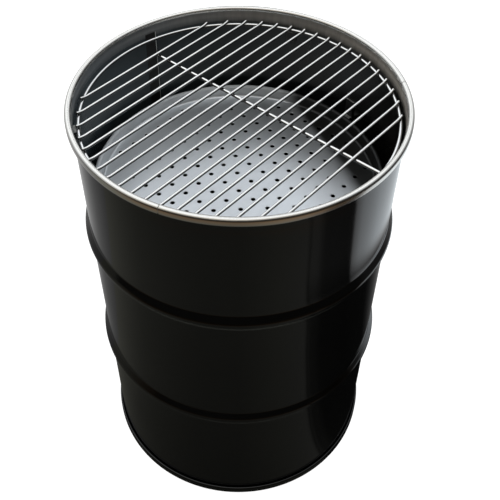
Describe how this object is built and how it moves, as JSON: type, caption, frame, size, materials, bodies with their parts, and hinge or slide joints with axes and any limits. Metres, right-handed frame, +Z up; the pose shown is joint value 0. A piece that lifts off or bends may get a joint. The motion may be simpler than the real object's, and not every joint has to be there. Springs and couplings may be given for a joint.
{
  "type": "barrel charcoal grill",
  "caption": "Small open steel drum charcoal grill with rolling hoops, bright split rim trim, lift-out round wire grate and lift-out perforated charcoal bowl.",
  "frame": {"origin": "middle of the circle the drum stands on", "axes": "+Z up through the drum, -Y is the front the picture is taken from, +X to its right"},
  "size_m": [0.3618, 0.3618, 0.538],
  "materials": {
    "drum_paint": "gloss",
    "rim_steel": "polished",
    "grate_wire": "bright plated",
    "bowl_steel": "polished"
  },
  "bodies": {
    "drum": {"drum_shell": "drum_paint", "drum_bottom": "drum_paint", "rim_trim_front": "rim_steel", "rim_trim_back": "rim_steel", "bowl_bracket_1": "drum_paint", "bowl_bracket_2": "drum_paint", "bowl_bracket_3": "drum_paint", "grate_bracket_1": "drum_paint", "grate_bracket_2": "drum_paint", "grate_bracket_3": "drum_paint"},
    "grate": {"grate_ring": "grate_wire", "grate_cross_wire": "grate_wire", "grate_rod_01": "grate_wire", "grate_rod_02": "grate_wire", "grate_rod_03": "grate_wire", "grate_rod_04": "grate_wire", "grate_rod_05": "grate_wire", "grate_rod_06": "grate_wire", "grate_rod_07": "grate_wire", "grate_rod_08": "grate_wire", "grate_rod_09": "grate_wire", "grate_rod_10": "grate_wire", "grate_rod_11": "grate_wire", "grate_rod_12": "grate_wire", "grate_rod_13": "grate_wire", "grate_rod_14": "grate_wire", "grate_rod_15": "grate_wire", "grate_rod_16": "grate_wire", "grate_rod_17": "grate_wire", "grate_rod_18": "grate_wire"},
    "coal_bowl": {"coal_bowl": "bowl_steel"}
  },
  "joints": [
    {"name": "grate_lift", "type": "slide", "parent": "drum", "child": "grate", "axis": [0, 0, 1], "range_m": [0, 0.1]},
    {"name": "bowl_lift", "type": "slide", "parent": "drum", "child": "coal_bowl", "axis": [0, 0, 1], "range_m": [0, 0.077]}
  ]
}
